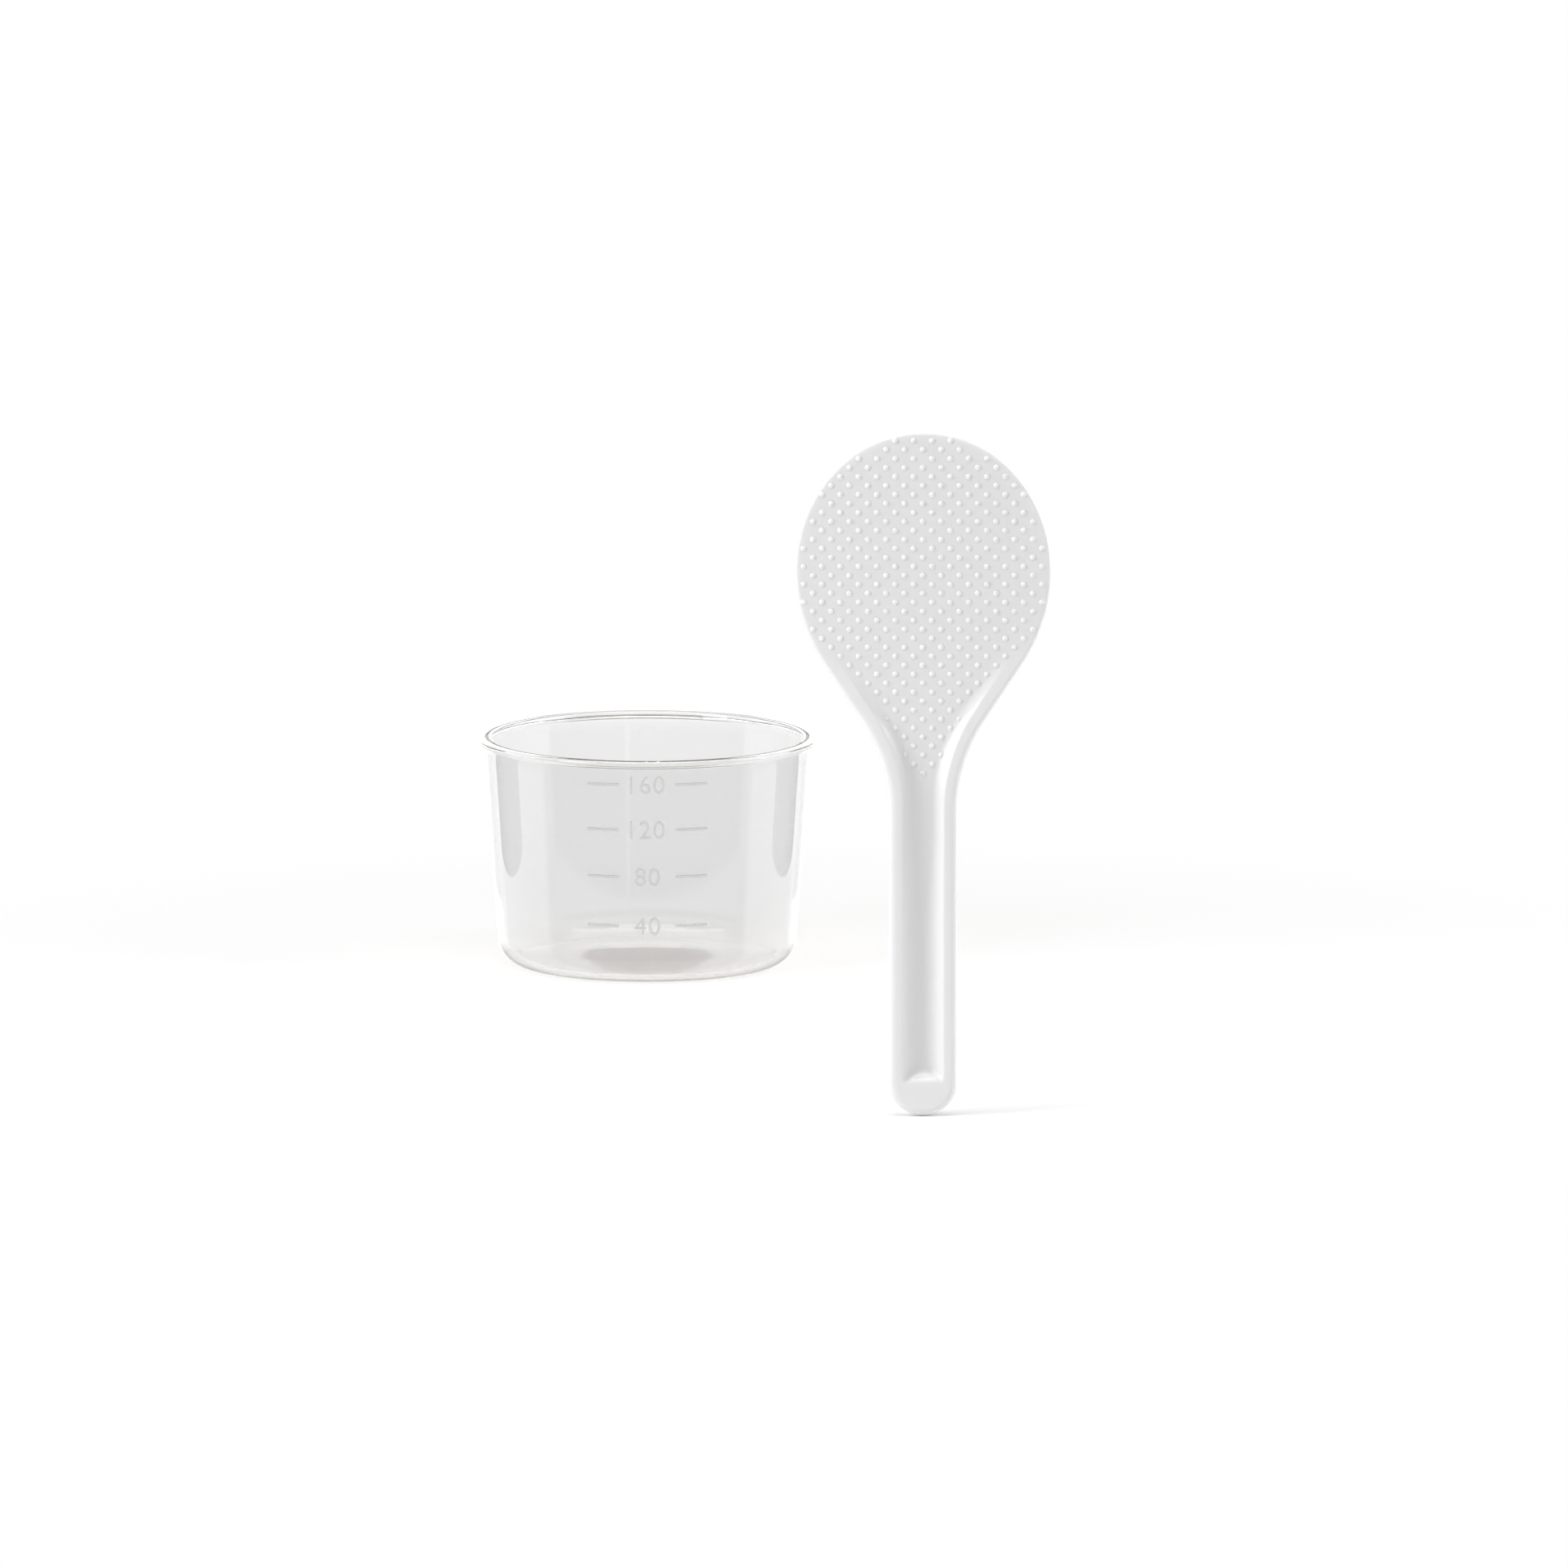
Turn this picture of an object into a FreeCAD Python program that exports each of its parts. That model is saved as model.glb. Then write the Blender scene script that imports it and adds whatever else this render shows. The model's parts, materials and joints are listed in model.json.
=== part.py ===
import FreeCAD, Part
import math
import os

from FreeCAD import Vector

# A clear rice measuring cup and a dotted rice paddle, a set of two loose mouldings.
# Millimetres, +Z up. The origin is on the table under the middle of the cup.
# The cup's scale and the paddle's dotted face both look towards -Y.

# Measuring cup
CUP_HEIGHT = 52.0
CUP_BASE_RADIUS = 33.4  # outside of the wall, carried on down to the table
CUP_DRAFT_ANGLE = 3.9  # lean of the wall from upright, in degrees
CUP_WALL = 1.3
CUP_FLOOR = 1.5
CUP_HEEL_RADIUS = 6.0  # outside round between wall and base
CUP_LIP_REACH = 1.5  # how far the lip stands out from the wall
CUP_LIP_THICKNESS = 1.4
CUP_LIP_ROOT_RADIUS = 0.9
CUP_MOUTH_RADIUS = 0.5

# Raised scale on the front of the cup
MARK_VOLUMES_ML = (40, 80, 120, 160)
MARK_RELIEF = 0.35
MARK_ROOT = 0.4  # how deep a mark starts inside the wall
MARK_LINE_WIDTH = 0.6
MARK_LINE_LENGTH = 7.2
MARK_LINE_START = 6.4  # from the middle of the number to the near end of a line
DIGIT_HEIGHT = 4.1
DIGIT_WIDTH = 2.8
DIGIT_STROKE = 0.65
DIGIT_GAP = 0.55

# Rice paddle, measured up from the end of the handle
PADDLE_LENGTH = 157.6
BLADE_WIDTH = 58.2
CROWN_RISE = 31.7  # from the blade's widest place up to its top
SHOULDER_RADIUS = 40.0  # side of the blade, from its widest place down to the flank
FLANK_ANGLE = 33.5  # lean of the straight flank from upright, in degrees
NECK_RADIUS = 37.0  # hollow round from the flank into the handle
HANDLE_WIDTH = 15.5
RIM_WIDTH = 3.1  # flat crest of the rim round the trough
RIM_HEIGHT = 3.0  # crest above the trough's floor
RIM_SLOPE_WIDTH = 2.8  # inner side of the rim along the blade, seen from the front
END_LIP = 8.0  # plain end of the handle below the trough
END_STEEPNESS = 1.6  # slope of the trough's lower end, against that of its sides
RIM_FADE_LENGTH = 40.0  # from the end of the neck to where the rim has died away
HANDLE_EDGE_THICKNESS = 3.2
BLADE_EDGE_THICKNESS = 1.7
NECK_THICKNESS = 2.4  # in the middle of the trough's floor
CROWN_THICKNESS = 1.9  # in the middle of the blade's top
BLADE_TILT = 3.0  # lean of the blade forward from the handle, in degrees
BEND_LENGTH = 30.0  # stretch below the neck where the handle bends forward and its trough narrows

# Dots on the blade: a square lattice turned by 45 degrees
DOT_PITCH = 2.94
DOT_RADIUS = 0.68
DOT_HEIGHT = 0.42
DOT_BORDER = 1.6  # from the middle of a dot to the blade's edge
DOT_START = 8.25  # from the end of the neck to the lowest dot
PANEL_STEP = 0.1  # the dotted field stands this proud of the face
PANEL_ROOT = 0.5  # how deep the field starts inside the blade
PANEL_MARGIN = 0.75  # plain strip of the field beyond the outer dots

# Where the paddle stands on the table, from the middle of the cup
PADDLE_RIGHT = 62.5
PADDLE_FORWARD = 220.0


def corner_round(before, corner, after, radius):
    """Ends and middle of the arc that rounds a corner of a profile."""
    to_before = (before - corner).normalize()
    to_after = (after - corner).normalize()
    half_angle = to_before.getAngle(to_after) / 2
    start = corner + to_before * (radius / math.tan(half_angle))
    end = corner + to_after * (radius / math.tan(half_angle))
    inward = (to_before + to_after).normalize()
    middle = corner + inward * (radius / math.sin(half_angle) - radius)
    return start, middle, end


def rounded_profile(corners):
    """Closed wire in the XZ plane through (x, z, radius) corners."""
    points = [Vector(x, 0, z) for x, z, radius in corners]
    edges = []
    first = None
    last = None
    for i, (x, z, radius) in enumerate(corners):
        start = points[i]
        end = points[i]
        if radius > 0:
            start, middle, end = corner_round(points[i - 1], points[i], points[(i + 1) % len(points)], radius)
        if last is not None:
            edges.append(Part.LineSegment(last, start).toShape())
        if radius > 0:
            edges.append(Part.Arc(start, middle, end).toShape())
        if first is None:
            first = start
        last = end
    edges.append(Part.LineSegment(last, first).toShape())
    return Part.Wire(edges)


def turned(corners):
    """Solid of revolution about Z of a rounded profile."""
    face = Part.Face(rounded_profile(corners))
    return face.revolve(Vector(0, 0, 0), Vector(0, 0, 1), 360)


def outer_radius(z):
    return CUP_BASE_RADIUS + z * math.tan(math.radians(CUP_DRAFT_ANGLE))


def wall_across():
    """Wall thickness measured level, which is a little more than square to the wall."""
    return CUP_WALL / math.cos(math.radians(CUP_DRAFT_ANGLE))


def inner_heel_radius():
    return max(CUP_HEEL_RADIUS - CUP_WALL, CUP_MOUTH_RADIUS)


def inner_radius(z):
    """Inside radius of the cup at a height, with the round at the floor."""
    radius = outer_radius(z) - wall_across()
    heel = inner_heel_radius()
    up = z - CUP_FLOOR
    if up < heel:
        radius -= heel - math.sqrt(heel ** 2 - (heel - up) ** 2)
    return radius


def level_of(volume_ml):
    """Height at which the cup holds a volume, or None where that is above its mouth."""
    slice_height = 0.02
    z = CUP_FLOOR
    held = 0.0
    while held < volume_ml * 1000:
        z += slice_height
        if z > CUP_HEIGHT:
            return None
        held += math.pi * inner_radius(z - slice_height / 2) ** 2 * slice_height
    return z


def cup_shell():
    under_lip = CUP_HEIGHT - CUP_LIP_THICKNESS
    rim_radius = outer_radius(CUP_HEIGHT) + CUP_LIP_REACH
    lip_round = 0.48 * CUP_LIP_THICKNESS
    return turned([
        (0, 0, 0),
        (outer_radius(0), 0, CUP_HEEL_RADIUS),
        (outer_radius(under_lip), under_lip, min(CUP_LIP_ROOT_RADIUS, 0.5 * CUP_LIP_REACH)),
        (rim_radius, under_lip, lip_round),
        (rim_radius, CUP_HEIGHT, lip_round),
        (outer_radius(CUP_HEIGHT) - wall_across(), CUP_HEIGHT, CUP_MOUTH_RADIUS),
        (outer_radius(CUP_FLOOR) - wall_across(), CUP_FLOOR, inner_heel_radius()),
        (0, CUP_FLOOR, 0),
    ])


def upright_face(curves):
    return Part.Face(Part.Wire([curve.toShape() for curve in curves]))


def bar(x0, z0, x1, z1, width=DIGIT_STROKE):
    """Straight stroke between two points, with round ends."""
    start = Vector(x0, 0, z0)
    end = Vector(x1, 0, z1)
    ahead = (end - start).normalize() * (width / 2)
    side = Vector(-ahead.z, 0, ahead.x)
    return upright_face([
        Part.LineSegment(start + side, end + side),
        Part.Arc(end + side, end + ahead, end - side),
        Part.LineSegment(end - side, start - side),
        Part.Arc(start - side, start - ahead, start + side),
    ])


def bow(x, z, radius, first, last):
    """Curved stroke about (x, z) between two angles in degrees, with round ends."""
    half = DIGIT_STROKE / 2
    middle = (first + last) / 2

    def at(reach, angle, ahead=0.0):
        turn = math.radians(angle)
        out = Vector(math.cos(turn), 0, math.sin(turn))
        along = Vector(-math.sin(turn), 0, math.cos(turn))
        return Vector(x, 0, z) + out * reach + along * ahead

    return upright_face([
        Part.Arc(at(radius + half, first), at(radius + half, middle), at(radius + half, last)),
        Part.Arc(at(radius + half, last), at(radius, last, half), at(radius - half, last)),
        Part.Arc(at(radius - half, last), at(radius - half, middle), at(radius - half, first)),
        Part.Arc(at(radius - half, first), at(radius, first, -half), at(radius + half, first)),
    ])


def ring(x, z, radius):
    return [bow(x, z, radius, 0, 180), bow(x, z, radius, 180, 360)]


def digit_strokes(digit):
    """Strokes of a digit, with the lower left end of its middle lines at the origin."""
    wide = DIGIT_WIDTH - DIGIT_STROKE
    high = DIGIT_HEIGHT - DIGIT_STROKE
    turn = wide / 2
    if digit == "0":
        return [
            bow(turn, high - turn, turn, 0, 180),
            bow(turn, turn, turn, 180, 360),
            bar(0, turn, 0, high - turn),
            bar(wide, turn, wide, high - turn),
        ]
    if digit == "1":
        stem = 0.6 * wide
        return [bar(stem, 0, stem, high), bar(stem, high, 0.1 * wide, 0.75 * high)]
    if digit == "2":
        leave = -35
        leave_x = turn + turn * math.cos(math.radians(leave))
        leave_z = high - turn + turn * math.sin(math.radians(leave))
        return [bow(turn, high - turn, turn, leave, 165), bar(leave_x, leave_z, 0, 0), bar(0, 0, wide, 0)]
    if digit == "4":
        stem = 0.72 * wide
        level = 0.28 * high
        return [bar(stem, 0, stem, high), bar(stem, high, 0, level), bar(0, level, wide, level)]
    if digit == "6":
        return ring(turn, turn, turn) + [bar(0, turn, 0, high - turn), bow(turn, high - turn, turn, 35, 180)]
    if digit == "8":
        low = 0.27 * high
        top = 0.5 * high - low
        return ring(turn, low, low) + ring(turn, 2 * low + top, top)
    raise ValueError("no strokes for digit " + digit)


def number_strokes(text, z):
    """Strokes of a number centred on the front of the cup at a height."""
    step = DIGIT_WIDTH + DIGIT_GAP
    left = -(len(text) * step - DIGIT_GAP) / 2 + DIGIT_STROKE / 2
    foot = z - (DIGIT_HEIGHT - DIGIT_STROKE) / 2
    strokes = []
    for place, digit in enumerate(text):
        for face in digit_strokes(digit):
            face.translate(Vector(left + place * step, 0, foot))
            strokes.append(face)
    return strokes


def raised_scale():
    """Numbers and lines of the scale, each at the level of its volume, or None where none fits."""
    highest = CUP_HEIGHT - CUP_LIP_THICKNESS - CUP_LIP_ROOT_RADIUS
    strokes = []
    for volume in MARK_VOLUMES_ML:
        z = level_of(volume)
        if z is None or z + DIGIT_HEIGHT / 2 > highest:
            continue
        far = MARK_LINE_START + MARK_LINE_LENGTH
        strokes.append(bar(MARK_LINE_START, z, far, z, MARK_LINE_WIDTH))
        strokes.append(bar(-far, z, -MARK_LINE_START, z, MARK_LINE_WIDTH))
        strokes += number_strokes(str(volume), z)
    if not strokes:
        return None
    forward = Vector(0, -outer_radius(CUP_HEIGHT) - CUP_LIP_REACH, 0)
    bars = [face.extrude(forward) for face in strokes]
    skin = turned([
        (outer_radius(0) - MARK_ROOT, 0, 0),
        (outer_radius(0) + MARK_RELIEF, 0, 0),
        (outer_radius(CUP_HEIGHT) + MARK_RELIEF, CUP_HEIGHT, 0),
        (outer_radius(CUP_HEIGHT) - MARK_ROOT, CUP_HEIGHT, 0),
    ])
    return bars[0].fuse(bars[1:]).common(skin)


def measuring_cup():
    cup = cup_shell()
    scale = raised_scale()
    if scale is not None:
        cup = cup.fuse(scale)
    return cup.removeSplitter().Solids[0]


# The paddle's outline: a half round crown, a shoulder arc, a straight flank,
# a hollow neck arc, a straight handle and a half round end, each tangent to the next.
BLADE_HALF = BLADE_WIDTH / 2
HANDLE_HALF = HANDLE_WIDTH / 2
FLANK_LEAN = math.radians(FLANK_ANGLE)
CROWN_Z = PADDLE_LENGTH - CROWN_RISE
FLANK_TOP_X = BLADE_HALF - SHOULDER_RADIUS * (1 - math.cos(FLANK_LEAN))
FLANK_TOP_Z = CROWN_Z - SHOULDER_RADIUS * math.sin(FLANK_LEAN)
FLANK_LOW_X = HANDLE_HALF + NECK_RADIUS * (1 - math.cos(FLANK_LEAN))
FLANK_LOW_Z = FLANK_TOP_Z - (FLANK_TOP_X - FLANK_LOW_X) / math.tan(FLANK_LEAN)
NECK_Z = FLANK_LOW_Z - NECK_RADIUS * math.sin(FLANK_LEAN)
RIM_END_Z = NECK_Z + RIM_FADE_LENGTH
BLADE_RUN = PADDLE_LENGTH - NECK_Z


def half_width(z):
    """Half the paddle's width at a height."""
    if z < HANDLE_HALF:
        return math.sqrt(HANDLE_HALF ** 2 - (HANDLE_HALF - z) ** 2)
    if z <= NECK_Z:
        return HANDLE_HALF
    if z <= FLANK_LOW_Z:
        return HANDLE_HALF + NECK_RADIUS - math.sqrt(NECK_RADIUS ** 2 - (z - NECK_Z) ** 2)
    if z <= FLANK_TOP_Z:
        return FLANK_LOW_X + (z - FLANK_LOW_Z) * math.tan(FLANK_LEAN)
    if z <= CROWN_Z:
        return BLADE_HALF - SHOULDER_RADIUS + math.sqrt(SHOULDER_RADIUS ** 2 - (CROWN_Z - z) ** 2)
    return BLADE_HALF * math.sqrt(1 - ((z - CROWN_Z) / CROWN_RISE) ** 2)


def edge_lean(z):
    """Lean of the outline from upright at a height between the handle's end and the crown."""
    if z <= NECK_Z or z >= CROWN_Z:
        return 0.0
    if z <= FLANK_LOW_Z:
        return math.asin((z - NECK_Z) / NECK_RADIUS)
    if z <= FLANK_TOP_Z:
        return FLANK_LEAN
    return math.asin((CROWN_Z - z) / SHOULDER_RADIUS)


def edge_distance(x, z):
    """How far a point of the face lies inside the outline."""
    if z < HANDLE_HALF:
        return HANDLE_HALF - math.hypot(x, HANDLE_HALF - z)
    if z > CROWN_Z:
        return math.hypot(x, z - CROWN_Z) * (1 / share_out(x, z) - 1)
    return (half_width(z) - abs(x)) * math.cos(edge_lean(z))


def share_out(x, z):
    """0 on the middle line, 1 at the outline."""
    if z < HANDLE_HALF:
        return math.hypot(x, HANDLE_HALF - z) / HANDLE_HALF
    if z > CROWN_Z:
        return math.hypot(x / BLADE_HALF, (z - CROWN_Z) / CROWN_RISE)
    return abs(x) / half_width(z)


def ease(t):
    """Smooth step from 0 to 1."""
    t = min(max(t, 0.0), 1.0)
    return t * t * (3 - 2 * t)


def rim_fade(z):
    """0 along the handle, 1 where the rim has died away."""
    return ease((z - NECK_Z) / RIM_FADE_LENGTH)


def rim_height(z):
    return RIM_HEIGHT * (1 - rim_fade(z))


def rim_slope(z):
    """Width of the rim's inner side, which reaches the middle of the handle and is narrower from the neck up."""
    hollow = HANDLE_HALF - RIM_WIDTH
    return hollow + (RIM_SLOPE_WIDTH - hollow) * ease((z - NECK_Z + BEND_LENGTH) / BEND_LENGTH)


def edge_thickness(z):
    return HANDLE_EDGE_THICKNESS + (BLADE_EDGE_THICKNESS - HANDLE_EDGE_THICKNESS) * rim_fade(z)


def face_y(z):
    """Front of the trough's floor, which bends forward below the neck, and of the flat blade."""
    slope = math.tan(math.radians(BLADE_TILT))
    past = z - (NECK_Z - BEND_LENGTH)
    if past <= 0:
        return 0.0
    if past < BEND_LENGTH:
        return -slope * past ** 2 / (2 * BEND_LENGTH)
    return -slope * (past - BEND_LENGTH / 2)


def edge_round(x, z):
    """How far the half round edge falls away from the full thickness."""
    radius = edge_thickness(z) / 2
    inset = max(radius - edge_distance(x, z), 0.0)
    return radius - math.sqrt(max(radius ** 2 - inset ** 2, 0.0))


def front_y(x, z):
    inside_rim = min(edge_distance(x, z) - RIM_WIDTH, END_STEEPNESS * (z - END_LIP))
    inward = inside_rim / rim_slope(z)
    crest = (1 - min(max(inward, 0.0), 1.0)) ** 2
    return face_y(z) - rim_height(z) * crest + edge_round(x, z)


def back_y(x, z):
    up_blade = max(z - NECK_Z, 0.0) / BLADE_RUN
    thickness = NECK_THICKNESS + (CROWN_THICKNESS - NECK_THICKNESS) * up_blade
    keel = thickness + rim_height(z) - edge_thickness(z)
    return face_y(z) + thickness - keel * share_out(x, z) ** 2 - edge_round(x, z)


SECTION_ANGLES = [math.radians(a) for a in range(-90, 91, 5)]
TIP_ANGLES = (8, 16, 24, 33, 42, 51, 60, 70, 80, 90)
CROWN_ANGLES = (76, 63, 51, 40, 30, 21, 14, 9, 5)
HANDLE_SECTIONS = 12
NECK_SECTIONS = 12
BLADE_SECTIONS = 3


def section_line(depth, z, turn):
    """Spline across the paddle at a height, from edge to edge and closely spaced near the edges."""
    half = half_width(z)
    edge_y = (front_y(half, z) + back_y(half, z)) / 2
    points = []
    for angle in SECTION_ANGLES:
        x = turn * half * math.sin(angle)
        points.append(Vector(x, depth(x, z), z))
    points[0].y = edge_y
    points[-1].y = edge_y
    curve = Part.BSplineCurve()
    curve.interpolate(Points=points, Parameters=SECTION_ANGLES)
    return curve.toShape()


def section(z):
    return Part.Wire([section_line(front_y, z, 1), section_line(back_y, z, -1)])


def spaced(low, high, count, growth=1.0):
    """Heights above low, up to and with high, closer together near low where growth is over 1."""
    return [low + (high - low) * ((i + 1) / count) ** growth for i in range(count)]


def section_heights():
    heights = [HANDLE_HALF * (1 - math.cos(math.radians(a))) for a in TIP_ANGLES]
    heights += spaced(HANDLE_HALF, NECK_Z, HANDLE_SECTIONS, 1.6)
    heights += spaced(NECK_Z, RIM_END_Z, NECK_SECTIONS)
    heights += spaced(RIM_END_Z, CROWN_Z, BLADE_SECTIONS)
    heights += [CROWN_Z + CROWN_RISE * math.cos(math.radians(a)) for a in CROWN_ANGLES]
    return sorted(heights)


def paddle_blank():
    return Part.makeLoft([section(z) for z in section_heights()], True, False)


def dot_clearance(z):
    """Least distance from the outline to the middle of a dot, past the rim's inner side."""
    past_rim = RIM_WIDTH + RIM_SLOPE_WIDTH
    return DOT_BORDER + (past_rim - DOT_BORDER) * (1 - rim_fade(z))


def dot_places():
    """Middles of the dots, as (x, z)."""
    step = DOT_PITCH / math.sqrt(2)
    across = math.ceil(BLADE_HALF / step)
    places = []
    z = NECK_Z + DOT_START
    offset = 0
    while z < PADDLE_LENGTH:
        for n in range(-across - across % 2 + offset, across + 1, 2):
            if edge_distance(n * step, z) >= dot_clearance(z):
                places.append((n * step, z))
        z += step
        offset = 1 - offset
    return places


def field_half_width(z):
    return half_width(z) - (dot_clearance(z) - PANEL_MARGIN) / math.cos(edge_lean(z))


def field_outline():
    """Edge of the dotted field: a straight foot, two sides that follow the rim and an oval top."""
    foot = NECK_Z + DOT_START - PANEL_MARGIN
    heights = [foot] + spaced(foot, CROWN_Z, 12)
    right = [Vector(field_half_width(z), 0, z) for z in heights]
    left = [Vector(-point.x, 0, point.z) for point in reversed(right)]
    right_side = Part.BSplineCurve()
    right_side.interpolate(Points=right)
    left_side = Part.BSplineCurve()
    left_side.interpolate(Points=left)
    top_z = PADDLE_LENGTH - (BLADE_HALF - right[-1].x)
    oval = Part.Ellipse(Vector(0, 0, top_z), right[-1], Vector(0, 0, CROWN_Z))
    top = Part.ArcOfEllipse(oval, -math.pi / 2, math.pi / 2)
    bottom = Part.LineSegment(left[-1], right[0])
    return Part.Wire([curve.toShape() for curve in (right_side, top, left_side, bottom)])


def dotted_field():
    """Thin plate with the dots on it, let into the blade and standing a little proud of its face."""
    ball_radius = (DOT_RADIUS ** 2 + DOT_HEIGHT ** 2) / (2 * DOT_HEIGHT)
    sunk = ball_radius - DOT_HEIGHT
    low = math.degrees(math.asin((sunk - PANEL_ROOT / 2) / ball_radius))
    forward = Vector(0, -1, 0)
    dots = []
    for x, z in dot_places():
        dots.append(Part.makeSphere(ball_radius, Vector(x, sunk - PANEL_STEP, z), forward, low, 90))
    plate = Part.Face(field_outline()).extrude(Vector(0, PANEL_STEP + PANEL_ROOT, 0))
    plate.translate(Vector(0, -PANEL_STEP, 0))
    field = plate.fuse(dots)
    field.rotate(Vector(0, 0, NECK_Z), Vector(1, 0, 0), BLADE_TILT)
    field.translate(Vector(0, face_y(NECK_Z), 0))
    return field


def rice_paddle():
    paddle = paddle_blank().fuse(dotted_field()).Solids[0]
    paddle.translate(Vector(PADDLE_RIGHT, -PADDLE_FORWARD, -paddle.BoundBox.ZMin))
    return paddle


os.makedirs("parts", exist_ok=True)
measuring_cup().exportStep("parts/measuring_cup.step")
rice_paddle().exportStep("parts/rice_paddle.step")
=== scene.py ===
import json
import math

import bmesh
import bpy
from bpy.props import FloatProperty, FloatVectorProperty, PointerProperty
from mathutils import Matrix, Vector

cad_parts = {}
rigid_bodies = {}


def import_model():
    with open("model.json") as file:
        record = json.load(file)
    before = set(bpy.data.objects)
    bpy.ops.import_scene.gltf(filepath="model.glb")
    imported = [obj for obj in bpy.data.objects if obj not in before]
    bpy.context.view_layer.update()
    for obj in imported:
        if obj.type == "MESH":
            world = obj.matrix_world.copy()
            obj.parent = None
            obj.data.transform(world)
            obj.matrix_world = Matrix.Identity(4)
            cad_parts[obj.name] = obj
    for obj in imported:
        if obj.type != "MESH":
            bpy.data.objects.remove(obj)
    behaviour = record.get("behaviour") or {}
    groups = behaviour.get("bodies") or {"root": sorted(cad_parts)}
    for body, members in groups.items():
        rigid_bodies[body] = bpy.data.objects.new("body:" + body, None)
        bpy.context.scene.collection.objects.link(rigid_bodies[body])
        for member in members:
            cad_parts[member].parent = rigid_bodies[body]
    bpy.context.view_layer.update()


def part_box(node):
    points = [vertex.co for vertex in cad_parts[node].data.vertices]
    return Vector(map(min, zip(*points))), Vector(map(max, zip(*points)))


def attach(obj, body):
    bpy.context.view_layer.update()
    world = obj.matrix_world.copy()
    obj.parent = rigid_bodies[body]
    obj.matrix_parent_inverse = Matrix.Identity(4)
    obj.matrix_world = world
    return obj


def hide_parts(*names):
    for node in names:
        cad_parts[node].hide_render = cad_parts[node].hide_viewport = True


bl_info = {
    "name": "Rice Cup and Paddle",
    "version": (1, 0, 0),
    "blender": (4, 5, 0),
    "location": "View3D > Sidebar > Rice Set",
    "description": "A clear rice measuring cup and a white dotted rice paddle on a studio floor",
    "category": "Add Mesh",
}

for leftover in list(bpy.data.objects):
    bpy.data.objects.remove(leftover)

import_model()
PADDLE_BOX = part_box("rice_paddle")

MM = 0.001
MERGE_DISTANCE = 1e-7


def linear(hex_colour):
    """Linear RGBA of an sRGB hex colour."""
    channels = [int(hex_colour[i:i + 2], 16) / 255 for i in (1, 3, 5)]
    return [c / 12.92 if c <= 0.04045 else ((c + 0.055) / 1.055) ** 2.4 for c in channels] + [1.0]


def length(label, about, millimetres):
    return FloatProperty(name=label, description=about, default=millimetres * MM, min=0.0,
                         subtype="DISTANCE", unit="LENGTH")


def angle(label, about, degrees):
    return FloatProperty(name=label, description=about, default=math.radians(degrees),
                         subtype="ANGLE", unit="ROTATION")


def colour(label, about, hex_colour):
    return FloatVectorProperty(name=label, description=about, default=linear(hex_colour), size=4,
                               min=0.0, max=1.0, subtype="COLOR")


def level(label, about, value):
    return FloatProperty(name=label, description=about, default=value, min=0.0)


class CupSettings(bpy.types.PropertyGroup):
    height: length("Height", "From the table to the top of the lip", 52.0)
    base_radius: length("Base Radius", "Outside of the wall, carried on down to the table", 33.4)
    draft: angle("Draft", "Lean of the wall from upright", 3.9)
    wall: length("Wall", "Thickness of the wall", 1.3)
    floor: length("Floor", "Thickness of the floor", 1.5)
    heel: length("Heel Round", "Outside round between the wall and the base", 6.0)
    lip_reach: length("Lip Reach", "How far the lip stands out from the wall", 1.5)
    lip_thickness: length("Lip Thickness", "Height of the lip's edge", 1.4)
    lip_root: length("Lip Root Round", "Round between the wall and the underside of the lip", 0.75)
    mouth: length("Mouth Round", "Round at the inner edge of the mouth", 0.5)
    relief: length("Relief", "How far the scale stands out from the wall", 0.35)
    digit_height: length("Digit Height", "Height of the scale's numbers", 4.1)
    line_length: length("Line Length", "Length of each line of the scale", 7.2)
    line_width: length("Line Width", "Width of each line of the scale", 0.6)
    line_start: length("Line Start", "From the middle of a number to its lines", 6.4)
    tint: colour("Tint", "Colour of light that has passed through the wall", "#f3f3f3")
    # The scale's tint is darker than the wall's, though the scale is the same plastic: painted shade that
    # makes the marks read greyer.
    mark_tint: colour("Mark Tint", "Colour of light that has passed through the frosted scale", "#d8d7d6")


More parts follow.
